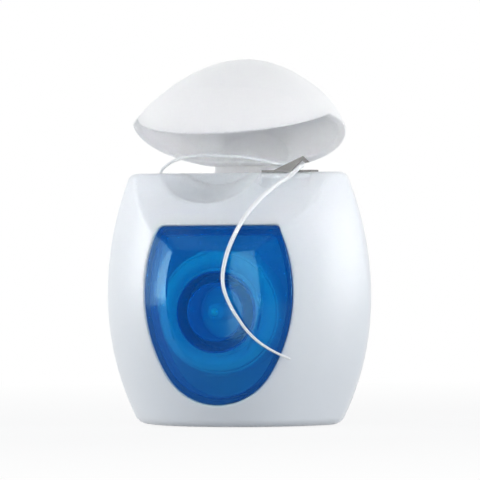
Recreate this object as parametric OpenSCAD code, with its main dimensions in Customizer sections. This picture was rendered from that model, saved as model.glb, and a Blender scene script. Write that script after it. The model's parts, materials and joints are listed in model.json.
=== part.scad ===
// Dental floss dispenser: a pebble-shaped case of two shells with a flip lid,
// a tinted window with the spool hub, a steel cutter and a length of floss.
// Millimetres. Z is up, the front faces -Y, and the origin is on the base.

/* [Case] */
// Width of the case at its widest level
case_w = 50.2; // [46:0.2:56]
// Height of the widest level above the base
waist_z = 23.5; // [21:0.5:26]
// Height of the flat deck that the lid closes on
deck_z = 46.2; // [44:0.2:50]
// Radius of the side outline above the widest level
side_r_up = 58; // [50:1:80]
// Radius of the side outline below the widest level
side_r_down = 49; // [42:1:70]
// How far the front bulges ahead of the widest plane
front_reach = 16.2; // [14:0.2:19]
// Radius of the front in side view
front_r = 70; // [60:1:110]
// How far the back stands behind the widest plane
rear_reach = 13.6; // [12.4:0.2:16]
// Radius of the back in side view
rear_r = 500; // [300:10:900]
// Height at which front and back reach furthest
bulge_z = 22; // [18:1:26]
// Radius of the rounded left and right edges
edge_r = 2.5; // [2:0.1:4]
// Radius of the rounding round the base
base_r = 1.3; // [1:0.1:2.5]
// Wall of the shells, the lid and the window
wall = 1.5; // [1.2:0.1:2]
// Place of the seam between the two shells
seam_y = 1.5; // [1:0.1:3]

/* [Slope] */
// Distance of the deck's front edge from the widest plane
slope_start = 3; // [2.4:0.1:3.6]
// Angle of the slope below the deck
slope_angle = 49.5; // [46:0.5:53]
// Radius of the finger scoop
scoop_r = 12.5; // [11:0.1:14]
// Radius of the scoop's rim on the slope
scoop_rim_r = 9.9; // [8.8:0.1:10.4]
// Height of the scoop's middle above the deck's edge, along the slope
scoop_rise = 2.7; // [2:0.1:4]
// Place of the scoop's middle across the deck
scoop_x = -4.1; // [-5:0.1:-3]

/* [Lid] */
// Height of the dome's top when the lid is closed
lid_top_z = 61.8; // [58:0.2:66]
// Bulge of the dome seen from the front
lid_side_power = 1.22; // [1.1:0.02:1.8]
// Bulge of the dome's front half
lid_front_power = 1.5; // [1.3:0.02:2]
// Bulge of the dome's back half
lid_rear_power = 2; // [1.6:0.02:2.4]
// Shift of the dome's middle to the back at its top
lid_lean = 2; // [0:0.1:3]
// Gap between the closed lid and the case
lid_gap = 0.35; // [0.3:0.01:0.5]
// Angle by which the lid stands open
lid_open = 38; // [20:1:60]
// Distance of the hinge line behind the widest plane
hinge_back = 12.3; // [12:0.1:12.6]
// Height of the hinge line above the deck
hinge_rise = 3.1; // [2.8:0.1:3.6]
// Width of the hinge strap
strap_w = 16; // [10:0.5:18]
// Thickness of the hinge strap
strap_t = 0.5; // [0.4:0.05:0.6]
// Length of the strap's leaf on the back shell
strap_leaf = 2.4; // [2:0.1:3]
// Gap round the strap's leaves in their flats
strap_gap = 0.15; // [0.1:0.01:0.2]
// Thickness of the wall behind each flat
flat_t = 1.1; // [0.8:0.1:1.4]

/* [Window] */
// Half of the window's width at its widest
window_half_w = 14.1; // [13:0.1:15]
// Height of the window's widest level
window_mid_z = 24.3; // [23:0.1:26]
// Radius of the window's sides
window_side_r = 28; // [26:0.5:32]
// Height of the window's lowest point
window_low_z = 4; // [3.6:0.1:5]
// Height of the window's straight top edge
window_top_z = 36.6; // [35:0.1:38]
// Gap between the window and its opening
window_gap = 0.12; // [0.1:0.01:0.2]
// Place of the side wall's back edge ahead of the widest plane
skirt_end = 7; // [6:0.1:9]
// Thickness of the window's side wall
skirt_t = 1.2; // [1:0.1:1.5]

/* [Spool] */
// Height of the spool's axis
spool_z = 20.9; // [20:0.1:22]
// Outer radius of the hub tube
hub_r = 7.1; // [6.6:0.1:7.6]
// Wall of the hub tube
hub_t = 1.8; // [1.4:0.1:2]
// Place of the hub tube's back end ahead of the widest plane
hub_end = 4.5; // [4:0.1:5.5]
// Radial play of the spool on the hub, and of the spigot in it
spool_play = 0.08; // [0.05:0.01:0.09]
// Wall of the spool
spool_t = 0.8; // [0.6:0.1:1]
// Length of the spool along its axis
spool_len = 7.1; // [6.9:0.1:7.2]
// Outer radius of the wound floss under its last layer
pack_r = 10.6; // [9.6:0.1:11]
// Gap between the spool and the disc behind it
spool_end_gap = 0.3; // [0.2:0.05:0.4]
// Radius of the centre pin
pin_r = 1.5; // [1.2:0.1:2]
// Length of the spigot inside the hub tube
spigot_len = 1; // [0.8:0.1:2]
// Radius of the post that carries the spigot
post_r = 3; // [2.5:0.1:4]
// Radius of the disc behind the spool
disc_r = 9; // [8.2:0.1:10]
// Thickness of the disc behind the spool
disc_t = 1.6; // [1.2:0.1:2]
// Gap between the pin and the window's face
pin_gap = 0.3; // [0.2:0.05:0.5]

/* [Floss] */
// Diameter of the floss
floss_d = 0.8; // [0.6:0.05:0.9]
// Diameter of the tight turns on the spool
turn_d = 0.5; // [0.4:0.05:0.6]
// Turns in the last layer
turns = 7; // [4:1:7]
// Radius of the hole that the floss comes out of
exit_r = 0.9; // [0.7:0.05:1.1]
// Place of the hole across the deck
exit_x = -15.9; // [-16.2:0.1:-15.6]
// Place of the hole behind the widest plane
exit_y = 3; // [2.8:0.1:3.4]

/* [Cutter] */
// Left end of the cutter plate
cutter_x0 = 5.6; // [5:0.1:6.5]
// Right end of the cutter plate
cutter_x1 = 15; // [14.4:0.1:15.4]
// Depth of the cutter plate from front to back
cutter_depth = 5; // [4:0.1:6]
// Thickness of the steel
steel_t = 0.38; // [0.3:0.02:0.5]
// Depth of the pocket below the cutter
pocket_depth = 0.7; // [0.5:0.05:0.8]
// Height of the pocket below the cutter
pocket_h = 2.6; // [2:0.1:3.2]
// Height of the barb above the deck
barb_h = 2.9; // [2.6:0.1:3.2]
// Place of the barb ahead of the widest plane
barb_front = 2; // [1.8:0.1:2.4]

/* [Hidden] */

$fn = 64;
big = 200;
eps = 0.01;

white = [0.93, 0.94, 0.96];
blue = [0.02, 0.35, 0.66];

// Steps round a ring of the skin
end_steps = 3;
front_steps = 18;
rear_steps = 18;

half_w = case_w / 2;
base_levels = [0, 0.08, 0.3, 0.6, 1];
case_levels = [0.14, 0.25, 0.37, 0.5, 0.62, 0.74, 0.86];
dome_steps = 10;

// Drop of a circle of radius r at the distance d from its top
function drop(r, d) = r - sqrt(r * r - d * d);
function side_r(z) = z > waist_z ? side_r_up : side_r_down;
function low_inset(z, r) = z < r ? drop(r, r - z) : 0;

// Half width, front reach and back reach of the case at a height
function case_half(z) = half_w - drop(side_r(z), z - waist_z);
function case_front(z) = front_reach - drop(front_r, z - bulge_z);
function case_rear(z) = rear_reach - drop(rear_r, z - bulge_z);

// Share of the deck's section that is left at the share u of the dome's height
function left_of(u, power) = sqrt(max(0, 1 - pow(min(u, 1), power)));

// One ring of the skin at the height z, moved in by t: w, f and b are the half
// width and the reaches, and e is the radius of its left and right edges
function arc_r(w, f, e) = ((w - e) * (w - e) + f * f - e * e) / (2 * (f - e));
function ring(w, f, b, e, z, y0) =
    let (r = arc_r(w, f, e), a = atan2(r - f, w - e))
    concat(
        [for (i = [0 : end_steps - 1])
            let (t = a * i / end_steps)
            [w - e + e * cos(t), y0 - e * sin(t), z]],
        [for (i = [0 : front_steps - 1])
            let (t = a + (180 - 2 * a) * i / front_steps)
            [r * cos(t), y0 + r - f - r * sin(t), z]],
        [for (i = [0 : end_steps - 1])
            let (t = 180 - a + a * i / end_steps)
            [-(w - e) + e * cos(t), y0 - e * sin(t), z]],
        [for (i = [0 : rear_steps - 1])
            let (t = 180 + 180 * i / rear_steps)
            [w * cos(t), y0 - b * sin(t), z]]
    );
ring_n = 2 * end_steps + front_steps + rear_steps;

// The case's ring at the height z, moved in by t
function case_ring(z, t) =
    let (s = t + low_inset(z - t, base_r - min(t, base_r - 1)))
    ring(case_half(z) - s, case_front(z) - s, case_rear(z) - s, max(edge_r - t, 1), z, 0);

// The dome's ring at the share u of its height, moved in by t
function dome_ring(u, t) =
    let (
        k = left_of(u, lid_side_power),
        kf = left_of(u, lid_front_power),
        kb = left_of(u, lid_rear_power),
        w = (case_half(deck_z) - t) * k,
        f = (case_front(deck_z) - t) * kf,
        b = (case_rear(deck_z) - t) * kb
    )
    ring(w, f, b, min(max(edge_r - t, 1), w * 0.4, f * 0.4),
         deck_z + (lid_top_z - t - deck_z) * u, lid_lean * u);

// A closed skin over a list of rings
module skin(rings) {
    n = ring_n;
    m = len(rings);
    polyhedron(
        points = [for (r = rings) each r],
        faces = concat(
            [[for (i = [n - 1 : -1 : 0]) i]],
            [for (j = [0 : m - 2], i = [0 : n - 1])
                let (a = j * n + i, b = j * n + (i + 1) % n)
                each [[a, b, a + n], [b, b + n, a + n]]],
            [[for (i = [0 : n - 1]) (m - 1) * n + i]]
        )
    );
}

// The case's full form up to the deck, moved in by t
module case_form(t) {
    low = [for (k = base_levels) t + k * base_r];
    high = [for (k = case_levels) deck_z * k];
    levels = concat(low, high, [deck_z - t]);
    skin([for (z = levels) case_ring(z, t)]);
}

// Everything above the slope and the deck, moved down by t
module above(t) {
    translate([0, -slope_start, deck_z])
        rotate([slope_angle, 0, 0])
            translate([-big / 2, -big, -t])
                cube([big, big, big]);
}

// The finger scoop, grown by t
scoop_off = sqrt(scoop_r * scoop_r - scoop_rim_r * scoop_rim_r);
module scoop(t) {
    translate([
        scoop_x,
        -slope_start + scoop_rise * cos(slope_angle) - scoop_off * sin(slope_angle),
        deck_z + scoop_rise * sin(slope_angle) + scoop_off * cos(slope_angle)
    ])
        sphere(r = scoop_r + t);
}

// The shallow pocket in the slope below the cutter, grown by t
module pocket(t) {
    translate([0, -slope_start, deck_z])
        rotate([slope_angle, 0, 0])
            translate([cutter_x0 - t, -pocket_h / sin(slope_angle) - t, -pocket_depth - t])
                cube([cutter_x1 - cutter_x0 + 2 * t, big, big]);
}

// The outer form of the case below the slope, and the same form moved in by a wall
module case_solid() {
    difference() {
        case_form(0);
        above(0);
        scoop(0);
        front_only() pocket(0);
    }
}
module case_cavity() {
    difference() {
        case_form(wall);
        above(wall);
        scoop(wall);
        front_only() pocket(wall);
    }
}

module front_only() {
    intersection() {
        children();
        translate([-big / 2, -big - slope_start, 0]) cube([big, big, big]);
    }
}

// The part of a shape ahead of the seam, and the part behind it
module front_of_seam() {
    intersection() {
        children();
        translate([-big / 2, seam_y - big, -1]) cube([big, big, big]);
    }
}
module back_of_seam() {
    intersection() {
        children();
        translate([-big / 2, seam_y, -1]) cube([big, big, big]);
    }
}

// The window's outline in front view, moved in by s
side_c = window_side_r - window_half_w;
low_r = let (h = window_mid_z - window_low_z)
    (window_side_r * window_side_r - side_c * side_c - h * h) / (2 * (window_side_r - h));
low_c = window_low_z + low_r;
tangent_z = window_mid_z
    + (low_c - window_mid_z) * window_side_r / (window_side_r - low_r);
module window_outline(s) {
    intersection() {
        translate([-side_c, window_mid_z]) circle(r = window_side_r - s, $fn = 180);
        translate([side_c, window_mid_z]) circle(r = window_side_r - s, $fn = 180);
        union() {
            translate([0, low_c]) circle(r = low_r - s, $fn = 120);
            translate([-big / 2, tangent_z]) square([big, window_top_z - s - tangent_z]);
        }
    }
}

// A prism of that outline from the front to the plane at the distance g ahead
module window_prism(s, g) {
    translate([0, -g, 0])
        rotate([90, 0, 0])
            linear_extrude(height = big / 2) window_outline(s);
}

// A shape turned about the spool's axis: its outline is drawn with the radius
// to the right and the distance ahead of the widest plane upwards
module about_spool() {
    translate([0, 0, spool_z]) rotate([90, 0, 0]) rotate_extrude($fn = 96) children();
}

// Places along the spool's axis, ahead of the widest plane
spool_back = hub_end + spool_end_gap;
face_in = case_front(spool_z) - wall;
spigot_r = hub_r - hub_t - spool_play;
spool_r = hub_r + spool_play;
layer_gap = 0.05;
pack_in = spool_r + spool_t + layer_gap;

// The hinge line, the strap's flats and its bend at rest
hinge_y = hinge_back;
hinge_z = deck_z + hinge_rise;
flat_y = hinge_y - strap_t / 2 - strap_gap;
flat_w = strap_w + 2 * strap_gap;
leaf_z = deck_z + 2 * hinge_rise;
bend_r = hinge_rise / tan(lid_open / 2);

// Turns what is drawn for the closed lid to its open place
module opened() {
    translate([0, hinge_y, hinge_z])
        rotate([-lid_open, 0, 0])
            translate([0, -hinge_y, -hinge_z])
                children();
}

// The lid's full form, moved in by t: the case's section up to the deck, then the dome
lid_levels = [0.55, 0.66, 0.77, 0.88, 0.95];
module lid_form(t) {
    skin(concat(
        [for (k = lid_levels) case_ring(deck_z * k, t)],
        [for (i = [0 : dome_steps]) dome_ring(sin(85 * i / dome_steps), t)]
    ));
}

// The room for the strap and its leaves behind a flat, from z0 to z1
module strap_room(z0, z1) {
    translate([-flat_w / 2, flat_y, z0]) cube([flat_w, big, z1 - z0]);
}

// The wall behind a flat, from z0 to z1
module flat_wall(z0, z1) {
    translate([-flat_w / 2, flat_y - flat_t, z0]) cube([flat_w, flat_t, z1 - z0]);
}

module rear_shell() {
    leaf_low = deck_z - strap_leaf - strap_gap;
    color(white) {
        difference() {
            union() {
                back_of_seam() difference() {
                    case_solid();
                    case_cavity();
                }
                flat_wall(leaf_low - wall, deck_z);
            }
            strap_room(leaf_low, deck_z + 1);
            translate([exit_x, exit_y, deck_z - 2 * wall]) cylinder(r = exit_r, h = 3 * wall);
        }
        spool_post();
    }
}

// The post inside the back shell: it holds the spool on its hub from behind
module spool_post() {
    foot = -case_rear(spool_z) + wall / 2;
    about_spool() {
        translate([0, foot]) square([post_r, hub_end - foot]);
        translate([0, hub_end - disc_t]) square([disc_r, disc_t]);
        translate([0, hub_end - disc_t]) square([spigot_r, disc_t + spigot_len]);
        translate([0, hub_end - disc_t]) square([pin_r, face_in - pin_gap - hub_end + disc_t]);
    }
}

module front_shell() {
    color(white)
    difference() {
        front_of_seam() difference() {
            case_solid();
            case_cavity();
        }
        window_prism(0, 0);
    }
}

module lid() {
    rim_z = deck_z + lid_gap;
    leaf_top = leaf_z + strap_leaf + strap_gap;
    color(white)
    opened()
    difference() {
        union() {
            intersection() {
                difference() {
                    lid_form(0);
                    lid_form(wall);
                }
                union() {
                    above(-lid_gap);
                    translate([-big / 2, -big / 2, rim_z]) cube(big);
                }
            }
            flat_wall(rim_z, leaf_top);
        }
        strap_room(rim_z - 1, leaf_top);
    }
}

// The strap in side view: a leaf on the shell, the bend and a leaf on the lid
module strap_profile() {
    translate([hinge_y - strap_t / 2, deck_z - strap_leaf]) square([strap_t, strap_leaf + eps]);
    translate([hinge_y + bend_r, deck_z]) {
        intersection() {
            difference() {
                circle(r = bend_r + strap_t / 2, $fn = 180);
                circle(r = bend_r - strap_t / 2, $fn = 180);
            }
            polygon([[0, 0], [-big, 0], [-big, big * tan(lid_open)]]);
        }
        rotate(-lid_open)
            translate([-bend_r - strap_t / 2, -eps])
                square([strap_t, strap_leaf + eps]);
    }
}
module hinge_strap() {
    color(white)
    translate([-strap_w / 2, 0, 0])
        rotate([90, 0, 90])
            linear_extrude(height = strap_w) strap_profile();
}

module window() {
    color(blue) {
        intersection() {
            difference() {
                case_form(0);
                above(0);
                difference() {
                    case_form(wall);
                    above(wall);
                }
            }
            window_prism(window_gap, 0);
        }
        intersection() {
            difference() {
                case_form(wall / 2);
                above(wall / 2);
            }
            union() {
                difference() {
                    window_prism(window_gap, skirt_end);
                    window_prism(window_gap + skirt_t, skirt_end - 1);
                }
                about_spool()
                    translate([hub_r - hub_t, hub_end]) square([hub_t, big / 4]);
            }
        }
    }
}

module spool() {
    color("ivory")
    about_spool()
        translate([spool_r, spool_back]) square([spool_t, spool_len]);
}

module floss_pack() {
    color("white")
    about_spool()
        translate([pack_in, spool_back]) square([pack_r - pack_in, spool_len]);
}

// A tube of radius r and the given number of sides swept along the points p
function unit(v) = v / norm(v);
function tangent(p, i) = unit(p[min(i + 1, len(p) - 1)] - p[max(i - 1, 0)]);
function side_of(v, t) = unit(v - (v * t) * t);
function sides(p, i, last) =
    i == len(p) ? [] :
    let (n = side_of(last, tangent(p, i)))
    concat([n], sides(p, i + 1, n));
module tube(p, r, n) {
    s = sides(p, 0, [1, 1, -1]);
    m = len(p);
    polyhedron(
        points = [for (i = [0 : m - 1])
            let (u = s[i], v = cross(tangent(p, i), u))
            for (k = [0 : n - 1])
                p[i] + r * (cos(360 * k / n) * u + sin(360 * k / n) * v)],
        faces = concat(
            [[for (k = [0 : n - 1]) k]],
            [for (i = [0 : m - 2], k = [0 : n - 1])
                let (a = i * n + k, b = i * n + (k + 1) % n)
                each [[a, a + n, b], [b, a + n, b + n]]],
            [[for (k = [n - 1 : -1 : 0]) (m - 1) * n + k]]
        )
    );
}

// The last layer of turns: one helix with a straight run at each end
turn_steps = 24;
turn_r = (pack_r + layer_gap + turn_d / 2) / cos(180 / turn_steps);
turn_pitch = (spool_len - turn_d) / turns;
turn_front = spool_back + spool_len - turn_d / 2;
function turn_point(i) =
    let (a = 360 * i / turn_steps)
    [-turn_r * cos(a), turn_pitch * i / turn_steps - turn_front, spool_z + turn_r * sin(a)];
turn_path = let (
        n = turns * turn_steps,
        p = [for (i = [0 : n]) turn_point(i)],
        run = 1.2 * turn_d
    )
    concat([p[0] - [0, 0, run]], p, [p[n] + [0, 0, run]]);
turn_gap = min([for (i = [0 : len(turn_path) - 1], j = [i + turn_steps / 2 : len(turn_path) - 1])
    norm(turn_path[i] - turn_path[j])]) - turn_d;
module floss_turns() {
    echo("least gap between the turns", turn_gap);
    color("white") tube(turn_path, turn_d / 2, 6);
}

// The run inside the case, from beside the turns to the hole in the deck
feed_path = [
    [-12, -5.6, 22], [-12.1, -5.3, 24], [-12.3, -4.6, 26], [-12.6, -3.7, 28],
    [-12.9, -2.7, 30], [-13.3, -1.7, 32], [-13.8, -0.7, 34], [-14.4, 0.4, 36],
    [-14.9, 1.4, 38], [-15.4, 2.3, 40], [-15.8, 2.9, 42], [-15.9, 3, 43.6],
    [-15.9, 3, 45.2]
];
module floss_feed() {
    color("white") tube(feed_path, floss_d / 2, 8);
}

// The free floss: out of the hole, over the scoop, behind and under the barb,
// down the slope and the window, to its cut end
strand_path = [
    [-15.9, 3, 45.2], [-15.7, 3, 46.4], [-14.9, 2.8, 47.4], [-13, 2.3, 48.5],
    [-10.8, 1.8, 49.1], [-8.5, 1.2, 49.4], [-6, 0.7, 49.5], [-3.6, 0.3, 49.4],
    [-1.3, -0.1, 49.3], [1, -0.4, 49.2], [3.2, -0.6, 48.9], [5.4, -0.8, 48.4],
    [7.4, -0.9, 47.9], [9.4, -0.9, 47.5], [11.2, -0.9, 47.3], [12.6, -1.2, 47.3],
    [13.1, -2.3, 47.3], [12.9, -3.6, 47], [12.2, -4.2, 46.2], [11.1, -4.7, 45.2],
    [9.6, -5.3, 44.2], [8.3, -6.5, 43], [7.1, -7.6, 41.8], [6.1, -8.8, 40.4],
    [5.2, -10, 39], [4.5, -11.2, 37.6], [3.9, -12.5, 36], [3.4, -14, 34.2],
    [3, -15.6, 32.2], [2.6, -16.5, 30], [2.3, -16.8, 27.8], [2.4, -16.9, 25.7],
    [3, -16.9, 23.7], [4, -16.8, 21.6], [5.2, -16.5, 19.6], [6.6, -16.1, 17.6],
    [8.3, -15.5, 15.8], [10.1, -14.7, 14.4], [11.9, -13.7, 13.3], [13.6, -12.6, 12.4]
];
module floss_strand() {
    color("white") tube(strand_path, floss_d / 2, 8);
}

// The cutter: a plate on the deck and a barb that stands up from it. The floss
// passes behind the barb and comes forward under its tip
barb_foot = [7.2, 11];
barb_top = 13.2;
barb_tip = [14.4, 1.75];
barb_hook = [[13.6, 1.65], [13.05, 2.1], [11.9, 1.1]];
module cutter() {
    color("silver") {
        translate([cutter_x0, -slope_start, deck_z])
            cube([cutter_x1 - cutter_x0, cutter_depth, steel_t]);
        translate([0, -barb_front + steel_t, deck_z])
            rotate([90, 0, 0])
                linear_extrude(height = steel_t)
                    polygon(concat(
                        [[barb_foot[0], steel_t / 2], [barb_top, barb_h], barb_tip],
                        barb_hook,
                        [[barb_foot[1], steel_t / 2]]
                    ));
    }
}

rear_shell();
front_shell();
lid();
hinge_strap();
window();
spool();
floss_pack();
floss_turns();
floss_feed();
floss_strand();
cutter();
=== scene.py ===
"""A dental floss dispenser, dressed for rendering: a white case with a flip lid,
a clear blue window, a steel cutter and the floss. The object's lengths are in
millimetres, and are turned into metres where a mesh is made. Materials, lamps and
floor are in metres. +Z is up and the front faces -Y."""

import json
import math

import bpy
import numpy as np
from mathutils import Matrix, Vector

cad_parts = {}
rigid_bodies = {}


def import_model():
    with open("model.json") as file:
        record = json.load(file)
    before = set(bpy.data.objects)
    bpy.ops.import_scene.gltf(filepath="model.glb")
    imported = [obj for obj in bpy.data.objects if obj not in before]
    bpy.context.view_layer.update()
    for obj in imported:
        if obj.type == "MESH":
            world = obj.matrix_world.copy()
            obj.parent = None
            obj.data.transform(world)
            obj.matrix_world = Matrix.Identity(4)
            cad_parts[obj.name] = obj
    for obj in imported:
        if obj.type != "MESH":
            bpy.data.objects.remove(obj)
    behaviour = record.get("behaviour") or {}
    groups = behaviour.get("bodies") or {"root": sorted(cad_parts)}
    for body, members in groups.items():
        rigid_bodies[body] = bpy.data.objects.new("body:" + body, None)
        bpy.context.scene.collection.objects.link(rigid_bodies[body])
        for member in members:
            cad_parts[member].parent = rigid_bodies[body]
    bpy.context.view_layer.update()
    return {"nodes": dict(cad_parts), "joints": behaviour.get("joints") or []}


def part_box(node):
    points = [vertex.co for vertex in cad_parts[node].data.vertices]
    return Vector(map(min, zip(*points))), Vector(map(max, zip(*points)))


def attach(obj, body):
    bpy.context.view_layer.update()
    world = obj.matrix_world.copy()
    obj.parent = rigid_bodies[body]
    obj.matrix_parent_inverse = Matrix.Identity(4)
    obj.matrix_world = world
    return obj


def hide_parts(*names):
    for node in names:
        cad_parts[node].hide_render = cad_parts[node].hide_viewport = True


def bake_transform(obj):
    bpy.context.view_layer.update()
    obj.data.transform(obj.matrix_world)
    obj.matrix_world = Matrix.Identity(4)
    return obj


for leftover in list(bpy.data.objects):
    bpy.data.objects.remove(leftover)
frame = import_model()

MM = 0.001


def highest(node):
    """The highest x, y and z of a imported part."""
    return np.array(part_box(node)[1]) / MM


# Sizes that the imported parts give
HALF_W, SEAM_Y = highest("front_shell")[:2]
REAR_REACH, DECK_Z = highest("rear_shell")[1:]
hinge = next(joint for joint in frame["joints"] if joint["name"] == "lid_hinge")
HINGE_Y, HINGE_Z = hinge["pos_m"][1] / MM, hinge["pos_m"][2] / MM
LID_OPEN = -hinge["range_deg"][0]

# The case: how its outline curves from the front and from the side, and its walls
WAIST_Z, SIDE_R_UP, SIDE_R_DOWN = 23.5, 58, 49
FRONT_REACH, FRONT_R, REAR_R, BULGE_Z = 16.2, 70, 500, 22
EDGE_R, BASE_R, WALL = 2.5, 1.3, 1.5

# The slope below the lid, its scoop for a finger, the pocket under the cutter, and the
# hole in the deck that the floss comes out of
SLOPE_START, SLOPE = 3, math.radians(49.5)
SCOOP_X, SCOOP_R, SCOOP_RIM, SCOOP_RISE = -4.1, 12.5, 9.9, 2.7
POCKET_X, POCKET_DEPTH, POCKET_H = (5.6, 15), 0.7, 2.6
EXIT_X, EXIT_Y, EXIT_R, EXIT_LOW = -15.9, 3, 0.9, 40

# Rounding of the edges
DECK_EDGE, SLOPE_EDGE, FINE_EDGE, CRISP_EDGE, SHARP_EDGE = 1.0, 0.5, 0.3, 0.15, 0.1
POCKET_CORNER, WINDOW_CORNER = 1.2, 0.6
HOLE_EDGE, COVER_EDGE, RIM_EDGE = 0.25, 0.4, 0.25
SKIRT_EDGE, HUB_FILLET, LID_EDGE = 0.2, 0.4, 0.2

# How far to each side a shape is looked at for its lean, and on the case's tall sides
PROBE, SIDE_PROBE = 0.02, 0.2

# The least that a length or a share is taken as before something is divided by it
TINY, NEAR_AXIS = 1e-6, 1e-3

# The floss's route, from the hole in the deck to its cut end
STRAND = [
    (-15.9, 3, 45.2), (-15.7, 3, 46.4), (-14.9, 2.8, 47.4), (-13, 2.3, 48.5),
    (-10.8, 1.8, 49.1), (-8.5, 1.2, 49.4), (-6, 0.7, 49.5), (-3.6, 0.3, 49.4),
    (-1.3, -0.1, 49.3), (1, -0.4, 49.2), (3.2, -0.6, 48.9), (5.4, -0.8, 48.4),
    (7.4, -0.9, 47.9), (9.4, -0.9, 47.5), (11.2, -0.9, 47.3), (12.6, -1.2, 47.3),
    (13.1, -2.3, 47.3), (12.9, -3.6, 47), (12.2, -4.2, 46.2), (11.1, -4.7, 45.2),
    (9.6, -5.3, 44.2), (8.3, -6.5, 43), (7.1, -7.6, 41.8), (6.1, -8.8, 40.4),
    (5.2, -10, 39), (4.5, -11.2, 37.6), (3.9, -12.5, 36), (3.4, -14, 34.2),
    (3, -15.6, 32.2), (2.6, -16.5, 30), (2.3, -16.8, 27.8), (2.4, -16.9, 25.7),
    (3, -16.9, 23.7), (4, -16.8, 21.6), (5.2, -16.5, 19.6), (6.6, -16.1, 17.6),
    (8.3, -15.5, 15.8), (10.1, -14.7, 14.4), (11.9, -13.7, 13.3), (13.6, -12.6, 12.4),
]
FLOSS_D = 0.8

# The floss is flat, and turns its edge to the front at both ends: how much narrower it
# looks there, over which share of its length, and how suddenly
START_NARROWS, START_SHARE, START_POWER = 0.35, 0.3, 0.5
END_NARROWS, END_SHARE, END_POWER = 0.45, 0.28, 0.8

# The camera stands to the right of the front, level with the upper part of the case. A
# place on the case's upright axis shows at AXIS_PIXEL
CAMERA_AZIMUTH, CAMERA_FAR, EYE_Z = math.radians(17), 770, 38.7
PIXELS_PER_MM, IMAGE_SIZE, SENSOR = 5.44, 480, 36
AXIS_PIXEL = (237.5, 213.5)
CAMERA_ROLL = math.radians(-0.46)


def make_camera():
    right = Vector((math.cos(CAMERA_AZIMUTH), math.sin(CAMERA_AZIMUTH), 0))
    away = Vector((-math.sin(CAMERA_AZIMUTH), math.cos(CAMERA_AZIMUTH), 0))
    eye = Vector((0, 0, EYE_Z)) - away * CAMERA_FAR
    half = IMAGE_SIZE / 2
    aim = (
        Vector((0, 0, EYE_Z))
        + right * (half - AXIS_PIXEL[0]) / PIXELS_PER_MM
        - Vector((0, 0, 1)) * (half - AXIS_PIXEL[1]) / PIXELS_PER_MM
    )
    data = bpy.data.cameras.new("camera")
    data.sensor_width = SENSOR
    data.lens = SENSOR * CAMERA_FAR * PIXELS_PER_MM / IMAGE_SIZE
    data.clip_start, data.clip_end = 0.01, 20
    camera = bpy.data.objects.new("camera", data)
    bpy.context.scene.collection.objects.link(camera)
    turn = (aim - eye).to_track_quat("-Z", "Y").to_matrix().to_4x4()
    camera.matrix_world = (
        Matrix.Translation(eye * MM) @ turn @ Matrix.Rotation(CAMERA_ROLL, 4, "Z")
    )
    bpy.context.scene.camera = camera


# How often a mesh's points are moved onto their surface, and how far a point moves that
# two touching sheets share
MOVES, PART_SHARE = 4, 0.05


def make_object(name, points, faces, body, nodes, slot=None):
    """A smooth mesh from points in millimetres. It rides on the body, if one is given,
    and stands for the nodes."""
    mesh = bpy.data.meshes.new(name)
    mesh.from_pydata([tuple(p) for p in np.asarray(points) * MM], [], faces)
    mesh.validate()
    mesh.shade_smooth()
    piece = bpy.data.objects.new(name, mesh)
    bpy.context.scene.collection.objects.link(piece)
    if body:
        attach(piece, body)
    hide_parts(*nodes)
    return piece


def crossings(value, axes, step, a):
    """Where a surface crosses the grid's edges along axis a, and the four cells around
    each of those edges."""
    b, c = (a + 1) % 3, (a + 2) % 3
    start, end = [slice(None)] * 3, [slice(None)] * 3
    start[a], end[a] = slice(None, -1), slice(1, None)
    start, end = value[tuple(start)], value[tuple(end)]
    index = np.argwhere((start < 0) != (end < 0))
    v0, v1 = start[tuple(index.T)], end[tuple(index.T)]
    spot = np.stack([axes[i][index[:, i]] for i in range(3)], 1).astype(float)
    spot[:, a] += step * v0 / (v0 - v1)
    cells = [len(axis) - 1 for axis in axes]
    corners = []
    for db, dc in ((-1, -1), (0, -1), (0, 0), (-1, 0)):
        cell = index.copy()
        cell[:, b] += db
        cell[:, c] += dc
        corners.append((cell[:, 0] * cells[1] + cell[:, 1]) * cells[2] + cell[:, 2])
    corners = np.stack(corners, 1)
    corners[v0 > 0] = corners[v0 > 0][:, ::-1]
    return spot, corners


def surface(shape, low, high, step):
    """Points and faces of the surface on which shape(x, y, z) is zero: one point in
    each cell of a grid that the surface crosses, moved onto it, and one face across
    each edge of the grid that it crosses."""
    axes = [np.arange(a, b + step, step) for a, b in zip(low, high)]
    value = shape(*np.meshgrid(*axes, indexing="ij"))
    spots, around = zip(*(crossings(value, axes, step, a) for a in range(3)))
    spots, around = np.concatenate(spots), np.concatenate(around)
    faces = np.unique(around, return_inverse=True)[1].reshape(around.shape)
    count = np.bincount(faces.ravel())
    sums = [np.bincount(faces.ravel(), np.repeat(spots[:, i], 4)) for i in range(3)]
    points = np.stack([total / count for total in sums], 1)
    for _ in range(MOVES):
        points = onto(shape, points, step)
    return parted(points, faces)


def parted(points, faces):
    """The same points and faces, with points of its own for each of two sheets that
    touch along an edge."""
    edges = np.sort(np.stack([faces, np.roll(faces, -1, 1)], 2).reshape(-1, 2), 1)
    edges, count = np.unique(edges, axis=0, return_counts=True)
    touching = {tuple(edge) for edge in edges[count > 2].tolist()}
    points, faces = points.tolist(), faces.tolist()
    at = {point: [] for edge in touching for point in edge}
    for i, face in enumerate(faces):
        for point in face:
            if point in at:
                at[point].append(i)
    for point in sorted(at):
        for sheet in sheets(point, at[point], faces, touching)[1:]:
            ring = np.mean([points[other] for i in sheet for other in faces[i]], 0)
            moved = (1 - PART_SHARE) * np.array(points[point]) + PART_SHARE * ring
            points.append(moved.tolist())
            for i in sheet:
                faces[i] = [len(points) - 1 if other == point else other for other in faces[i]]
    return np.array(points), faces


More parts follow.
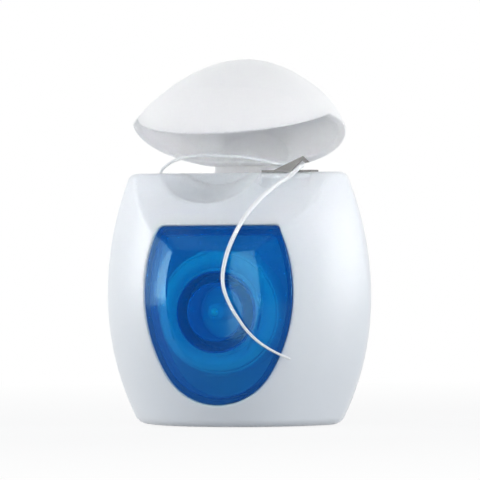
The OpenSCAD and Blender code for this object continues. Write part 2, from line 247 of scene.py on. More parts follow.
def sheets(point, around, faces, touching):
    """The faces around a point, in groups that edges join which aren't touching ones."""
    left, groups = list(around), []
    while left:
        group = [left.pop()]
        for face in group:
            k = faces[face].index(point)
            for other in (faces[face][k - 1], faces[face][(k + 1) % 4]):
                if (min(point, other), max(point, other)) not in touching:
                    near = [i for i in left if other in faces[i]]
                    group.extend(near)
                    left = [i for i in left if i not in near]
        groups.append(group)
    return groups


def onto(shape, points, step):
    """The points, moved towards the surface of shape by at most half a step."""
    x, y, z = points.T
    h = PROBE
    growth = np.stack(
        [
            shape(x + h, y, z) - shape(x - h, y, z),
            shape(x, y + h, z) - shape(x, y - h, z),
            shape(x, y, z + h) - shape(x, y, z - h),
        ],
        1,
    ) / (2 * h)
    move = -shape(x, y, z)[:, None] * growth / np.maximum((growth**2).sum(1), TINY)[:, None]
    size = np.linalg.norm(move, axis=1)[:, None]
    return points + move * np.minimum(1, 0.5 * step / np.maximum(size, TINY))


# Shapes are functions of x, y and z that are negative inside and grow by about 1
# for each millimetre outwards
def both(a, b, r):
    """What a and b share, with the edge between them rounded."""
    return np.minimum(np.maximum(a, b), -r) + np.hypot(
        np.maximum(a + r, 0), np.maximum(b + r, 0)
    )


def either(a, b, r):
    """a and b together, with the corner between them filled."""
    return -both(-a, -b, r)


def drop(r, d):
    """Drop of a circle of radius r at the distance d from its top."""
    return r - np.sqrt(np.maximum(r * r - d * d, 0))


def case_half(z):
    """Half the case's width at the height z."""
    return HALF_W - drop(np.where(z > WAIST_Z, SIDE_R_UP, SIDE_R_DOWN), z - WAIST_Z)


def case_front(z):
    """How far the case reaches to the front at the height z."""
    return FRONT_REACH - drop(FRONT_R, z - BULGE_Z)


def case_rear(z):
    """How far the case reaches to the back at the height z."""
    return REAR_REACH - drop(REAR_R, z - BULGE_Z)


def section(x, y, w, f, b, e):
    """Distance in plan from the case's outline: an arc in front with small round
    ends, and half an ellipse behind. w is half its width, f and b are its reach to the
    front and to the back, and e is the ends' radius."""
    x = np.abs(x)
    r = ((w - e) ** 2 + f**2 - e**2) / (2 * (f - e))
    arc = np.hypot(x, y - (r - f)) - r
    end = np.hypot(x - (w - e), y) - e
    beyond = x * (f - r) - (w - e) * (y - (r - f)) < 0
    share = np.maximum(np.hypot(x / w, y / b), NEAR_AXIS)
    rear = (share - 1) * share / np.maximum(np.hypot(x / w**2, y / b**2), TINY)
    return np.where(y > 0, rear, np.where(beyond, end, arc))


def sides(x, y, z):
    """The case's sides, as a distance square to them."""
    z = np.clip(z, 0, DECK_Z)

    def plan(z):
        return section(x, y, case_half(z), case_front(z), case_rear(z), EDGE_R)

    lean = (plan(z + SIDE_PROBE) - plan(z - SIDE_PROBE)) / (2 * SIDE_PROBE)
    return plan(z) / np.sqrt(1 + lean**2)


def slope(y, z):
    """Distance out from the slope that the front's top edge is cut off by."""
    return (z - DECK_Z) * math.cos(SLOPE) - (y + SLOPE_START) * math.sin(SLOPE)


def along_slope(y, z):
    """Distance down the slope from the deck's front edge."""
    return -(y + SLOPE_START) * math.cos(SLOPE) - (z - DECK_Z) * math.sin(SLOPE)


def case_solid(x, y, z):
    """The case as one solid, with its slope, scoop and pocket."""
    body = both(sides(x, y, z), -z, BASE_R)
    body = both(body, z - DECK_Z, DECK_EDGE)
    body = both(body, slope(y, z), SLOPE_EDGE)
    off = math.sqrt(SCOOP_R**2 - SCOOP_RIM**2)
    scoop = SCOOP_R - np.sqrt(
        (x - SCOOP_X) ** 2
        + (slope(y, z) - off) ** 2
        + (along_slope(y, z) + SCOOP_RISE) ** 2
    )
    body = both(body, scoop, SLOPE_EDGE)
    middle, half = sum(POCKET_X) / 2, (POCKET_X[1] - POCKET_X[0]) / 2
    down = along_slope(y, z) - POCKET_H / math.sin(SLOPE)
    pocket = both(np.abs(x - middle) - half, down, POCKET_CORNER)
    pocket = np.maximum(pocket, -POCKET_DEPTH - slope(y, z))
    pocket = np.maximum(pocket, y + SLOPE_START)
    return both(body, -pocket, CRISP_EDGE)


# The window's outline from the front: two arcs at its sides that run into one below,
# where they share a tangent
WINDOW_HALF, WINDOW_MID, WINDOW_SIDE_R = 14.1, 24.3, 28
WINDOW_LOW, WINDOW_TOP, WINDOW_GAP = 4, 36.6, 0.12
SIDE_C = WINDOW_SIDE_R - WINDOW_HALF
RISE = WINDOW_MID - WINDOW_LOW
LOW_R = (WINDOW_SIDE_R**2 - SIDE_C**2 - RISE**2) / (2 * (WINDOW_SIDE_R - RISE))
LOW_C = WINDOW_LOW + LOW_R
TANGENT_Z = WINDOW_MID + (LOW_C - WINDOW_MID) * WINDOW_SIDE_R / (WINDOW_SIDE_R - LOW_R)


def window_outline(x, z):
    """Distance from the window's outline, seen from the front."""
    x = np.abs(x)
    side = np.hypot(x + SIDE_C, z - WINDOW_MID) - WINDOW_SIDE_R
    low = np.hypot(x, z - LOW_C) - LOW_R
    return both(np.where(z < TANGENT_Z, low, side), z - WINDOW_TOP, WINDOW_CORNER)


def shell(x, y, z):
    """Both halves of the case before they are parted at the seam."""
    solid = case_solid(x, y, z)
    opening = both(window_outline(x, z), y, SHARP_EDGE)
    body = both(solid, -solid - WALL, FINE_EDGE)
    return both(body, -opening, FINE_EDGE)


# The spool's axis and the post that carries its hub
SPOOL_Z, HUB_R, HUB_T, HUB_END = 20.9, 7.1, 1.8, 4.5
POST_R, POST_ROOT, DISC_R, DISC_T, SPIGOT_R, SPIGOT_LEN = 3, 0.75, 9, 1.6, 5.22, 1
PIN_R, PIN_END, PIN_TIP_R = 1.5, 14.4, 0.3


def turned(r, y, radius, back, ahead):
    """A disc about the spool's axis, from one distance ahead to another."""
    return both(r - radius, np.maximum(y + back, -ahead - y), CRISP_EDGE)


def post(x, y, z):
    """The post behind the spool, with a disc and a spigot for its hub and a pin."""
    r = np.hypot(x, z - SPOOL_Z)
    body = turned(r, y, POST_R, -REAR_REACH + POST_ROOT, HUB_END)
    body = np.minimum(body, turned(r, y, DISC_R, HUB_END - DISC_T, HUB_END))
    body = np.minimum(body, turned(r, y, SPIGOT_R, HUB_END - DISC_T, HUB_END + SPIGOT_LEN))
    pin = turned(r, y, PIN_R, HUB_END - DISC_T, PIN_END)
    tip = (r - (y + PIN_END) - PIN_TIP_R) * math.sqrt(0.5)
    return np.minimum(body, both(pin, tip, CRISP_EDGE))


# The strap that the lid turns on, and the flat places on shell and lid that carry it
STRAP_W, STRAP_T, STRAP_LEAF, STRAP_GAP, FLAT_T = 16, 0.5, 2.4, 0.15, 1.1
FLAT_Y = HINGE_Y - STRAP_T / 2 - STRAP_GAP
FLAT_HALF = STRAP_W / 2 + STRAP_GAP
HINGE_RISE = HINGE_Z - DECK_Z


def strap_pad(x, y, z, low, high):
    """A flat place for the strap, from the height low to high."""
    pad = np.maximum(np.abs(x) - FLAT_HALF, np.abs(y - FLAT_Y + FLAT_T / 2) - FLAT_T / 2)
    return np.maximum(pad, np.abs(z - (low + high) / 2) - (high - low) / 2)


def strap_room(x, y, beyond):
    """The room behind a pad, where its leaf of the strap lies. beyond is the distance past
    the leaf's end."""
    return np.maximum(np.maximum(np.abs(x) - FLAT_HALF, FLAT_Y - y), beyond)


def rear_shell(x, y, z):
    """The back half, with a seat for the strap, the floss's hole and the post."""
    low = DECK_Z - STRAP_LEAF - STRAP_GAP
    body = both(shell(x, y, z), SEAM_Y - y, SHARP_EDGE)
    body = np.minimum(body, strap_pad(x, y, z, low - WALL, DECK_Z))
    body = both(body, -strap_room(x, y, low - z), SHARP_EDGE)
    hole = np.maximum(np.hypot(x - EXIT_X, y - EXIT_Y) - EXIT_R, EXIT_LOW - z)
    body = both(body, -hole, HOLE_EDGE)
    return np.minimum(body, post(x, y, z))


def front_shell(x, y, z):
    """The front half, with the window's opening."""
    return both(shell(x, y, z), y - SEAM_Y, SHARP_EDGE)


# The steps of the grids that the surfaces are found on, and where those of the shells
# start and end along y: planes of the shape lie between planes of the grid
SHELL_STEP, WINDOW_STEP, LID_STEP = 0.3, 0.2, 0.3
SHELL_GRIDS = {
    "front_shell": (front_shell, SEAM_Y - 60.5 * SHELL_STEP, SEAM_Y + 3 * SHELL_STEP),
    "rear_shell": (rear_shell, -PIN_END - 1.5 * SHELL_STEP, REAR_REACH + 3 * SHELL_STEP),
}


def make_shells():
    step = SHELL_STEP
    made = []
    for node, (shape, ahead, behind) in SHELL_GRIDS.items():
        low = (-HALF_W - 2 * step, ahead, -1.5 * step)
        high = (HALF_W + 2 * step, behind, DECK_Z + 2 * step)
        skin = surface(shape, low, high, step)
        made.append(make_object(node + "_skin", *skin, "case", [node], "white_shell"))
    return made


# The window: a rim that rises from the case to a flatter middle with tighter arcs, and a
# wall behind it all round. The case's front is followed out to FACE_HALF, and FACE_LEAN
# turns a distance along y into one square to the face
PLATEAU_HALF, PLATEAU_LOW, PLATEAU_REACH, PLATEAU_BULGE_Z = 9, 11, 15.9, 10
PLATEAU_R_X, PLATEAU_R_Z, PLATEAU_TIGHTER = 120, 300, 4
FACE_HALF, FACE_LEAN = 20, 0.88
SKIRT_END, SKIRT_T, SKIRT_TOP, COVER_T = 7, 1.2, 2.1, 1.5


def rim_half(z):
    """Half the width of the window's outline at the height z."""
    z = np.clip(z, WINDOW_LOW, WINDOW_TOP)
    low = np.sqrt(np.maximum(LOW_R**2 - (z - LOW_C) ** 2, 0))
    side = np.sqrt(WINDOW_SIDE_R**2 - (z - WINDOW_MID) ** 2) - SIDE_C
    return np.where(z < TANGENT_Z, low, side)


def front_of_case(x, z):
    """How far the case's front stands forward of the axis."""
    w, f = case_half(z), case_front(z)
    r = ((w - EDGE_R) ** 2 + f**2 - EDGE_R**2) / (2 * (f - EDGE_R))
    return f - drop(r, np.minimum(np.abs(x), FACE_HALF))


def cover_reach(x, z):
    """How far the window's face stands forward of the axis."""
    rim = front_of_case(rim_half(z), z)
    middle = PLATEAU_REACH - x**2 / (2 * PLATEAU_R_X)
    middle = middle - (z - PLATEAU_BULGE_Z) ** 2 / (2 * PLATEAU_R_Z)
    out = np.maximum(-window_outline(x, z), 0)
    side_r = WINDOW_SIDE_R - PLATEAU_TIGHTER
    side = np.hypot(np.abs(x) + side_r - PLATEAU_HALF, z - WINDOW_MID) - side_r
    low_r = LOW_R - PLATEAU_TIGHTER
    low = np.hypot(x, z - PLATEAU_LOW - low_r) - low_r
    tangent = WINDOW_MID + (PLATEAU_LOW + low_r - WINDOW_MID) * side_r / (side_r - low_r)
    off = np.where(z < tangent, low, side)
    share = out / np.maximum(out + np.maximum(off, 0), TINY)
    return rim + (middle - rim) * np.clip(share, 0, 1)


def cover_solid(x, y, z):
    """All that lies behind the window's face, up to the slope."""
    z = np.clip(z, WINDOW_LOW - 1, WINDOW_TOP + 2)
    face = (-y - cover_reach(x, z)) * FACE_LEAN
    return both(face, slope(y, z), COVER_EDGE)


def window(x, y, z):
    """The window's cover with its side wall, and the hub's tube behind it."""
    outline = window_outline(x, z) + WINDOW_GAP
    outer = cover_solid(x, y, z)
    inner = outer + COVER_T
    r = np.hypot(x, z - SPOOL_Z)
    within = np.maximum(outline + SKIRT_T, z - WINDOW_TOP + SKIRT_TOP)
    skirt = both(y + SKIRT_END, -within, SKIRT_EDGE)
    hub = both(np.maximum(r - HUB_R, HUB_R - HUB_T - r), y + HUB_END, SKIRT_EDGE)
    body = either(either(-inner, skirt, FINE_EDGE), hub, HUB_FILLET)
    return both(both(body, outer, CRISP_EDGE), outline, RIM_EDGE)


def make_window():
    step = WINDOW_STEP
    low = (-WINDOW_HALF - 2 * step, -FRONT_REACH - 2 * step, WINDOW_LOW - 2 * step)
    high = (WINDOW_HALF + 2 * step, -HUB_END + 3 * step, WINDOW_TOP + 2 * step)
    points, faces = surface(window, low, high, step)
    return make_object("window_cover", points, faces, "case", ["window"], "blue_window")


# The lid, drawn shut and then turned to its open place. LID_POWERS say how full the dome
# is to the sides, to the front and to the back, and its outline is drawn up to LID_LAST
# of its height
LID_TOP, LID_LEAN, LID_GAP, LID_POWERS = 61.8, 2, 0.35, (1.22, 1.5, 2)
LID_LAST, LID_EDGE_SHARE, LID_GRID_LOW = 0.9995, 0.4, 25


def opened(points):
    """Points of the closed lid, turned about the hinge."""
    c, s = math.cos(math.radians(LID_OPEN)), math.sin(math.radians(LID_OPEN))
    y, z = points[:, 1] - HINGE_Y, points[:, 2] - HINGE_Z
    return np.stack([points[:, 0], HINGE_Y + y * c + z * s, HINGE_Z - y * s + z * c], 1)


def lid_outside(x, y, z):
    """The dome: the case's outline at the deck, drawn in towards the top."""

    def plan(z):
        u = np.clip((z - DECK_Z) / (LID_TOP - DECK_Z), 0, LID_LAST)
        base = np.minimum(z, DECK_Z)
        w, f, b = (
            size(base) * np.sqrt(1 - u**power)
            for size, power in zip((case_half, case_front, case_rear), LID_POWERS)
        )
        edge = np.minimum(EDGE_R, np.minimum(w, f) * LID_EDGE_SHARE)
        return section(x, y - LID_LEAN * u, w, f, b, edge)

    lean = (plan(z + PROBE) - plan(z - PROBE)) / (2 * PROBE)
    return np.maximum(plan(z) / np.sqrt(1 + lean**2), z - LID_TOP)


def lid(x, y, z):
    """The hollow dome, cut off along slope and deck, with a seat for the strap."""
    outside = lid_outside(x, y, z)
    body = both(outside, -outside - WALL, LID_EDGE)
    cut = np.minimum(LID_GAP - slope(y, z), DECK_Z + LID_GAP - z)
    top = DECK_Z + 2 * HINGE_RISE + STRAP_LEAF + STRAP_GAP
    body = np.minimum(body, strap_pad(x, y, z, DECK_Z + LID_GAP, top))
    body = both(body, cut, FINE_EDGE)
    return both(body, -strap_room(x, y, z - top), SHARP_EDGE)


def make_lid():
    low = (-HALF_W, -FRONT_REACH - 1, LID_GRID_LOW)
    high = (HALF_W, REAR_REACH + 2, LID_TOP + 1)
    points, faces = surface(lid, low, high, LID_STEP)
    return make_object("lid_dome", opened(points), faces, "lid", ["lid"], "white_lid")


# The strap: a leaf on the shell, the bend and a leaf on the lid. It is thinner at the bend
LEAF_STEPS, BEND_STEPS, STRAP_COLUMNS = 8, 24, 40
STRAP_THINNER, STRAP_THIN_SPAN = 0.35, 0.8


def strap_line():
    """The strap's middle from the side, from shell to lid: y, z and its lean."""
    lean = math.radians(LID_OPEN)
    bend_r = HINGE_RISE / math.tan(math.radians(LID_OPEN / 2))
    line = []
    for t in range(LEAF_STEPS):
        line.append((HINGE_Y, DECK_Z - STRAP_LEAF + t * STRAP_LEAF / LEAF_STEPS, 0))
    for t in range(BEND_STEPS + 1):
        a = lean * t / BEND_STEPS
        y = HINGE_Y + bend_r - bend_r * math.cos(a)
        line.append((y, DECK_Z + bend_r * math.sin(a), a))
    y, z, _ = line[-1]
    for t in range(1, LEAF_STEPS + 1):
        far = STRAP_LEAF * t / LEAF_STEPS
        line.append((y + far * math.sin(lean), z + far * math.cos(lean), lean))
    return line


def make_strap():
    line = strap_line()
    columns = STRAP_COLUMNS
    n = 2 * (columns + 1)
    points, faces = [], []
    for y, z, a in line:
        thinner = STRAP_THINNER * math.exp(-(((z - HINGE_Z) / STRAP_THIN_SPAN) ** 2))
        half = STRAP_T / 2 * (1 - thinner)
        for side in (-1, 1):
            for i in range(columns + 1):
                x = -side * STRAP_W * (i / columns - 0.5)
                points.append((x, y + side * half * math.cos(a), z - side * half * math.sin(a)))
    for k in range(len(line) - 1):
        for i in range(n):
            j = (i + 1) % n
            faces.append((k * n + i, k * n + j, (k + 1) * n + j, (k + 1) * n + i))
    for k, flip in ((0, True), (len(line) - 1, False)):
        for i in range(columns):
            face = [k * n + i, k * n + i + 1, k * n + n - 2 - i, k * n + n - 1 - i]
            faces.append(tuple(face[::-1] if flip else face))
    made = make_object("hinge_strap_bend", points, faces, None, ["hinge_strap"], "white_lid")
    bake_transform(made)
    return made


# The spool inside, the wound floss on it with the ribs that its turns make, and its last
# layer of turns
SPOOL_R, SPOOL_T, SPOOL_LEN, SPOOL_BACK = 7.18, 0.8, 7.1, 4.8
PACK_IN, PACK_R, RIBS, RIB_POINTS, RIB_DEPTH = 8.03, 10.6, 16, 4, 0.12
TURN_D, TURN_GAP, TURNS, TURN_STEPS = 0.5, 0.05, 7, 48

# How many sides round things are drawn with, and points along each stretch of a path
LATHE_STEPS, TURN_SIDES, FEED_SIDES, PATH_STEPS = 96, 8, 10, 6


def lathe(profile):
    """Points and faces of a ring about the spool's axis: profile holds (radius, y)
    corners of its cross-section."""
    points, faces = [], []
    n = len(profile)
    for k in range(LATHE_STEPS):
        a = 2 * math.pi * k / LATHE_STEPS
        for r, y in profile:
            points.append((r * math.cos(a), y, SPOOL_Z + r * math.sin(a)))
    for k in range(LATHE_STEPS):
        m = (k + 1) % LATHE_STEPS
        for i in range(n):
            j = (i + 1) % n
            faces.append((k * n + i, m * n + i, m * n + j, k * n + j))
    return points, faces


def tube(path, radius, sides):
    """Points and faces of a closed tube along the path."""
    path = [Vector(p) for p in path]
    points, faces = [], []
    side = Vector((0.3, 0.9, 0.2))
    for i, p in enumerate(path):
        ahead = (path[min(i + 1, len(path) - 1)] - path[max(i - 1, 0)]).normalized()
        side = (side - side.dot(ahead) * ahead).normalized()
        up = ahead.cross(side)
        for k in range(sides):
            a = 2 * math.pi * k / sides
            points.append(p + (side * math.cos(a) + up * math.sin(a)) * radius)
    for i in range(len(path) - 1):
        for k in range(sides):
            m = (k + 1) % sides
            faces.append((i * sides + k, i * sides + m, (i + 1) * sides + m, (i + 1) * sides + k))
    faces.append(tuple(reversed(range(sides))))
    faces.append(tuple((len(path) - 1) * sides + k for k in range(sides)))
    return points, faces


def smooth_path(points):
    """The points joined by a smooth curve through all of them."""
    points = [np.array(p, float) for p in points]
    ends = [2 * points[0] - points[1]] + points + [2 * points[-1] - points[-2]]
    line = []
    for a, b, c, d in zip(ends, ends[1:], ends[2:], ends[3:]):
        for k in range(PATH_STEPS):
            t = k / PATH_STEPS
            curved = (2 * a - 5 * b + 4 * c - d) * t**2 + (3 * b - a - 3 * c + d) * t**3
            line.append(0.5 * (2 * b + (c - a) * t + curved))
    return line + [points[-1]]


# The floss's way inside, from the winding up to the hole
FEED = [
    (-12, -5.6, 22), (-12.1, -5.3, 24), (-12.3, -4.6, 26), (-12.6, -3.7, 28),
    (-12.9, -2.7, 30), (-13.3, -1.7, 32), (-13.8, -0.7, 34), (-14.4, 0.4, 36),
    (-14.9, 1.4, 38), (-15.4, 2.3, 40), (-15.8, 2.9, 42), (-15.9, 3, 43.6),
    (-15.9, 3, 45.2),
]


def turns_path():
    """The last layer of floss: one helix from the spool's far end to its near end."""
    pitch = (SPOOL_LEN - TURN_D) / TURNS
    radius = PACK_R + TURN_GAP + TURN_D / 2
    path = []
    for i in range(TURNS * TURN_STEPS + 1):
        a = 2 * math.pi * i / TURN_STEPS
        y = pitch * i / TURN_STEPS - SPOOL_BACK - SPOOL_LEN + TURN_D / 2
        path.append((-radius * math.cos(a), y, SPOOL_Z + radius * math.sin(a)))
    return path


def make_spool():
    near, far, edge = -SPOOL_BACK, -SPOOL_BACK - SPOOL_LEN, CRISP_EDGE
    inner, outer = SPOOL_R, SPOOL_R + SPOOL_T
    profile = [
        (inner, near - edge), (inner + edge, near), (outer - edge, near), (outer, near - edge),
        (outer, far + edge), (outer - edge, far), (inner + edge, far), (inner, far + edge),
    ]
    ring = make_object("spool_ring", *lathe(profile), "spool", ["spool"], "spool_plastic")
    wound = [(PACK_IN, far), (PACK_IN, near)]
    for k in range(RIBS * RIB_POINTS + 1):
        wave = 0.5 + 0.5 * math.cos(2 * math.pi * k / RIB_POINTS)
        wound.append((PACK_R - RIB_DEPTH * wave, near - SPOOL_LEN * k / (RIBS * RIB_POINTS)))
    pack = make_object("floss_wound", *lathe(wound), "spool", ["floss_pack"], "floss")
    turns = tube(turns_path(), TURN_D / 2, TURN_SIDES)
    outside = make_object("floss_outer_turns", *turns, "spool", ["floss_turns"], "floss")
    run = tube(smooth_path(FEED), FLOSS_D / 2, FEED_SIDES)
    feed = make_object("floss_run", *run, "case", ["floss_feed"], "floss")
    return ring, pack, outside, feed


def strand_width(t):
    """The share of its full width that the floss shows at the share t of its length."""
    start = max(0, 1 - t / START_SHARE) ** START_POWER
    end = max(0, (t - 1 + END_SHARE) / END_SHARE) ** END_POWER
    return 1 - START_NARROWS * start - END_NARROWS * end


def make_strand():
    """The free floss as one open curve through the route's points. Its depth is 1, so
    that a point's radius is the thread's own, and the curve's box is true."""
    curve = bpy.data.curves.new("floss_line", "CURVE")
    curve.dimensions = "3D"
    curve.bevel_depth = 1
    curve.bevel_resolution = 3
    curve.use_fill_caps = True
    path = smooth_path(STRAND)
    line = curve.splines.new("POLY")
    line.points.add(len(path) - 1)
    for i, (point, place) in enumerate(zip(line.points, path)):
        point.co = (*(np.array(place) * MM), 1)
        point.radius = FLOSS_D / 2 * MM * strand_width(i / len(path))
    strand = bpy.data.objects.new("floss_line", curve)
    bpy.context.scene.collection.objects.link(strand)
    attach(strand, "case")
    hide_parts("floss_strand")
    return strand


# Helpers for materials
def node_maker(tree):
    """A function that adds a node to the tree and sets the inputs that it is given."""

    def node(kind, **inputs):
        new = tree.nodes.new(kind)
        for key, value in inputs.items():
            new.inputs[key.replace("_", " ")].default_value = value
        return new

    return node


def material(name):
    """A material with its Principled shader, and a maker of nodes for it."""
    made = bpy.data.materials.new(name)
    made.use_nodes = True
    tree = made.node_tree
    return made, tree, tree.nodes["Principled BSDF"], node_maker(tree)


def combined(tree, node, kind, first, second):
    """Two values joined by one step of arithmetic."""
    step = node("ShaderNodeMath")
    step.operation = kind
    tree.links.new(first, step.inputs[0])
    tree.links.new(second, step.inputs[1])
    return step.outputs[0]


def mixed(tree, node, share, first, second):
    """Two shaders mixed: the share of the second is a number or another node's value."""
    mix = node("ShaderNodeMixShader")
    if isinstance(share, float):
        mix.inputs["Fac"].default_value = share
    else:
        tree.links.new(share, mix.inputs["Fac"])
    tree.links.new(first.outputs[0], mix.inputs[1])
    tree.links.new(second.outputs[0], mix.inputs[2])
    return mix


def place_noise(tree, node, scale, detail=3):
    """Noise that keeps to the piece, from its own coordinates in metres."""
    where = node("ShaderNodeTexCoord")
    noise = node("ShaderNodeTexNoise", Scale=scale, Detail=detail)
    tree.links.new(where.outputs["Object"], noise.inputs["Vector"])
    return noise


def ranged(tree, node, source, low, high):
    """A value from 0 to 1, brought to run from low to high."""
    change = node("ShaderNodeMapRange")
    change.inputs["To Min"].default_value = low
    change.inputs["To Max"].default_value = high
    tree.links.new(source, change.inputs["Value"])
    return change.outputs["Result"]


def add_bump(tree, node, shader, source, distance, strength):
    """Relief from a value, distance metres deep where it is at full strength."""
    bump = node("ShaderNodeBump", Distance=distance, Strength=strength)
    tree.links.new(source, bump.inputs["Height"])
    tree.links.new(bump.outputs["Normal"], shader.inputs["Normal"])


# How fine the noise is, per metre: patches in the gloss, the moulded grain, filaments
# and brush marks. How deep the relief is, in metres, and how strong
WHITE_PATCHES, CLEAR_PATCHES, GRAIN, FILAMENTS = 220, 300, 5200, 6000
BRUSH_MARKS = (300, 9000, 9000)
GRAIN_RELIEF, FILAMENT_RELIEF, BRUSH_RELIEF = (0.00001, 0.25), (0.00003, 0.5), (0.000004, 0.4)


def white_plastic(name, colour, rough, deep):
    """Moulded white plastic: the gloss is slightly uneven and the surface has a faint
    grain. deep is how far light sinks into it, in metres."""
    made, tree, shader, node = material(name)
    shader.inputs["Base Color"].default_value = (*colour, 1)
    shader.inputs["IOR"].default_value = 1.5
    shader.inputs["Subsurface Weight"].default_value = 1
    shader.inputs["Subsurface Radius"].default_value = (1, 1, 1)
    shader.inputs["Subsurface Scale"].default_value = deep
    patches = place_noise(tree, node, WHITE_PATCHES)
    tree.links.new(
        ranged(tree, node, patches.outputs["Fac"], rough - 0.05, rough + 0.07),
        shader.inputs["Roughness"],
    )
    grain = place_noise(tree, node, GRAIN, 2)
    add_bump(tree, node, shader, grain.outputs["Fac"], *GRAIN_RELIEF)
    return made


# The window's plastic: its tint and how fast it takes hold, and how milky it is
TINT, TINT_PER_M = (0.0, 0.885, 0.952), 2000
MILKY, MILKY_COLOUR = 0.34, (0.0005, 0.16, 0.74)


def blue_plastic():
    """Clear blue plastic: tinted through its thickness, and a little milky. Light that
    only passes through on its way to the inside goes straight."""
    made, tree, shader, node = material("clear_blue")
    shader.inputs["Base Color"].default_value = (1, 1, 1, 1)
    shader.inputs["Transmission Weight"].default_value = 1
    shader.inputs["IOR"].default_value = 1.47
    shader.inputs["Specular Tint"].default_value = (0.42, 0.95, 1, 1)
    shader.inputs["Specular IOR Level"].default_value = 0.35
    patches = place_noise(tree, node, CLEAR_PATCHES)
    tree.links.new(
        ranged(tree, node, patches.outputs["Fac"], 0.06, 0.1), shader.inputs["Roughness"]
    )
    milk = node("ShaderNodeBsdfDiffuse", Color=(*MILKY_COLOUR, 1))
    milky = mixed(tree, node, MILKY, shader, milk)
    rays = node("ShaderNodeLightPath")
    inward = combined(
        tree, node, "MAXIMUM", rays.outputs["Is Shadow Ray"], rays.outputs["Is Diffuse Ray"]
    )
    lit = mixed(tree, node, inward, milky, node("ShaderNodeBsdfTransparent"))
    output = tree.nodes["Material Output"]
    tree.links.new(lit.outputs[0], output.inputs["Surface"])
    tint = node("ShaderNodeVolumeAbsorption", Density=TINT_PER_M)
    tint.inputs["Color"].default_value = (*TINT, 1)
    tree.links.new(tint.outputs["Volume"], output.inputs["Volume"])
    return made


def floss_thread():
    """White waxed floss, a little translucent and uneven from its fine filaments."""
    made, tree, shader, node = material("waxed_floss")
    shader.inputs["Base Color"].default_value = (0.95, 0.965, 0.98, 1)
    shader.inputs["Subsurface Weight"].default_value = 0.3
    shader.inputs["Subsurface Radius"].default_value = (1, 1, 1)
    shader.inputs["Subsurface Scale"].default_value = 0.0004
    filaments = place_noise(tree, node, FILAMENTS, 2)
    tree.links.new(
        ranged(tree, node, filaments.outputs["Fac"], 0.35, 0.6), shader.inputs["Roughness"]
    )
    add_bump(tree, node, shader, filaments.outputs["Fac"], *FILAMENT_RELIEF)
    return made


def steel():
    """Stamped sheet steel with fine brush marks along it."""
    made, tree, shader, node = material("cutter_steel")
    shader.inputs["Base Color"].default_value = (0.18, 0.178, 0.172, 1)
    shader.inputs["Metallic"].default_value = 1
    where = node("ShaderNodeTexCoord")
    stretch = node("ShaderNodeMapping")
    stretch.inputs["Scale"].default_value = BRUSH_MARKS
    marks = node("ShaderNodeTexNoise", Scale=1, Detail=3)
    tree.links.new(where.outputs["Object"], stretch.inputs["Vector"])
    tree.links.new(stretch.outputs["Vector"], marks.inputs["Vector"])
    tree.links.new(
        ranged(tree, node, marks.outputs["Fac"], 0.28, 0.45), shader.inputs["Roughness"]
    )
    add_bump(tree, node, shader, marks.outputs["Fac"], *BRUSH_RELIEF)
    return made


def dress(made, *pieces):
    """Gives the material to each of the pieces."""
    for piece in pieces:
        piece.data.materials.clear()
        piece.data.materials.append(made)


# The lamps, each with its azimuth and elevation in degrees, azimuth 0 being in front, its
# distance, width and height in metres, and how bright its face is, where 1 is white. The
# front one is a narrow beam into the scoop: it also has the angle in degrees that its
# light spreads over, and the height in metres that it aims at
LAMPS = {
    "top": (0, 65, 1.0, 0.8, 0.6, 0.55),
    "left": (-78, 9, 0.9, 0.5, 0.4, 3.2),
    "right": (88, 9, 0.9, 0.5, 0.4, 6.4),
    "back": (180, 25, 0.9, 0.9, 0.6, 0.35),
    "front": (8, 0.5, 0.6, 0.1, 0.04, 0.4, 6.7, 0.055),
    "strip_front": (-9.5, 16, 0.42, 0.06, 0.26, 4.6),
    "strip_left": (-80, 18, 0.42, 0.07, 0.28, 4.5),
}
SKY_LEVEL, SKY_COLOUR = 0.42, (0.92, 0.96, 1)

# The floor throws light on the object as FLOOR_COLOUR does. It is seen as FLOOR_PAGE with
# a share FLOOR_WHITE of plain white, so that the shadow on it is faint, and turns all
# white from FLOOR_NEAR to FLOOR_FAR metres away
FLOOR_COLOUR, FLOOR_ROUGH, FLOOR_PAGE = (0.52, 0.53, 0.55), 0.8, (0.95, 0.95, 0.95)
FLOOR_WHITE, FLOOR_NEAR, FLOOR_FAR = 0.85, 0.06, 0.2
FLOOR_HALF, FLOOR_DROP = 3, 0.0002


def softbox(name, azimuth, elevation, far, width, height, bright, spread=180, aim=0.03):
    """A plain soft lamp that faces the object."""
    a, e = math.radians(azimuth), math.radians(elevation)
    toward = Vector((math.sin(a) * math.cos(e), -math.cos(a) * math.cos(e), math.sin(e)))
    data = bpy.data.lights.new(name, "AREA")
    data.shape = "RECTANGLE"
    data.size, data.size_y = width, height
    data.energy = bright * math.pi * width * height
    data.spread = math.radians(spread)
    lamp = bpy.data.objects.new(name, data)
    bpy.context.scene.collection.objects.link(lamp)
    place = Matrix.Translation(Vector((0, 0, aim)) + toward * far)
    lamp.matrix_world = place @ toward.to_track_quat("Z", "Y").to_matrix().to_4x4()


def mirrored(tree, node, rays):
    """1 for the rays that show the background in gloss or through clear plastic."""
    return combined(
        tree, node, "MAXIMUM", rays.outputs["Is Glossy Ray"], rays.outputs["Is Transmission Ray"]
    )


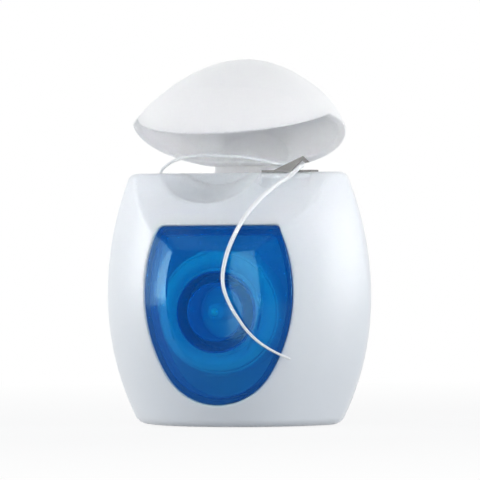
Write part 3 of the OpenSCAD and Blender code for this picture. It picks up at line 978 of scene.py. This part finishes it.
def make_floor():
    half = FLOOR_HALF
    mesh = bpy.data.meshes.new("floor")
    corners = [(-half, -half, 0), (half, -half, 0), (half, half, 0), (-half, half, 0)]
    mesh.from_pydata(corners, [], [(0, 1, 2, 3)])
    floor = bpy.data.objects.new("floor", mesh)
    bpy.context.scene.collection.objects.link(floor)
    floor.location.z = -FLOOR_DROP
    made, tree, shader, node = material("pale_floor")
    shader.inputs["Base Color"].default_value = (*FLOOR_COLOUR, 1)
    shader.inputs["Roughness"].default_value = FLOOR_ROUGH
    place = node("ShaderNodeNewGeometry")
    away = node("ShaderNodeVectorMath")
    away.operation = "LENGTH"
    tree.links.new(place.outputs["Position"], away.inputs[0])
    fade = node("ShaderNodeMapRange")
    fade.inputs["From Min"].default_value = FLOOR_NEAR
    fade.inputs["From Max"].default_value = FLOOR_FAR
    fade.inputs["To Min"].default_value = FLOOR_WHITE
    tree.links.new(away.outputs["Value"], fade.inputs["Value"])
    shaded = node("ShaderNodeBsdfDiffuse", Color=(*FLOOR_PAGE, 1))
    plain = node("ShaderNodeEmission", Color=(1, 1, 1, 1), Strength=1)
    page = mixed(tree, node, fade.outputs["Result"], shaded, plain)
    rays = node("ShaderNodeLightPath")
    plainly = combined(
        tree, node, "MAXIMUM", rays.outputs["Is Camera Ray"], mirrored(tree, node, rays)
    )
    mix = mixed(tree, node, plainly, shader, page)
    tree.links.new(mix.outputs[0], tree.nodes["Material Output"].inputs["Surface"])
    dress(made, floor)


def make_world():
    """A pale sky that lights the object. It looks white to the camera, and its half
    behind the object looks white in gloss and through clear plastic too."""
    world = bpy.data.worlds.new("world")
    bpy.context.scene.world = world
    world.use_nodes = True
    tree = world.node_tree
    node = node_maker(tree)
    sky = tree.nodes["Background"]
    sky.inputs["Color"].default_value = (*SKY_COLOUR, 1)
    sky.inputs["Strength"].default_value = SKY_LEVEL
    white = node("ShaderNodeBackground", Color=(1, 1, 1, 1), Strength=1)
    where = node("ShaderNodeTexCoord")
    parts = node("ShaderNodeSeparateXYZ")
    tree.links.new(where.outputs["Generated"], parts.inputs[0])
    behind = node("ShaderNodeMath")
    behind.operation = "GREATER_THAN"
    behind.inputs[1].default_value = 0
    tree.links.new(parts.outputs["Y"], behind.inputs[0])
    rays = node("ShaderNodeLightPath")
    there = combined(tree, node, "MULTIPLY", behind.outputs[0], mirrored(tree, node, rays))
    plainly = combined(tree, node, "MAXIMUM", rays.outputs["Is Camera Ray"], there)
    mix = mixed(tree, node, plainly, sky, white)
    tree.links.new(mix.outputs[0], tree.nodes["World Output"].inputs["Surface"])


bpy.context.scene.view_settings.view_transform = "Standard"
make_camera()
strand = make_strand()
front, rear = make_shells()
cover = make_window()
top = make_lid()
strap = make_strap()
ring, pack, outside, feed = make_spool()
cutter = frame["nodes"]["cutter"]

# Each white plastic's name, colour, roughness and how deep light sinks into it
# Painted shade: the shell's colour is set darker and bluer than the lid's white, which gives the
# case's body its bluish shade.
dress(white_plastic("shell_plastic_painted_shade", (0.84, 0.875, 0.92), 0.3, 0.0015), front, rear)
dress(white_plastic("lid_plastic", (0.96, 0.96, 0.965), 0.38, 0.002), top)
dress(white_plastic("strap_plastic", (0.95, 0.95, 0.96), 0.35, 0.002), strap)
dress(white_plastic("spool_plastic", (0.8, 0.8, 0.78), 0.4, 0.0005), ring)
dress(blue_plastic(), cover)
dress(floss_thread(), strand, pack, outside, feed)
dress(steel(), cutter)

make_floor()
make_world()
for name, place in LAMPS.items():
    softbox(name, *place)
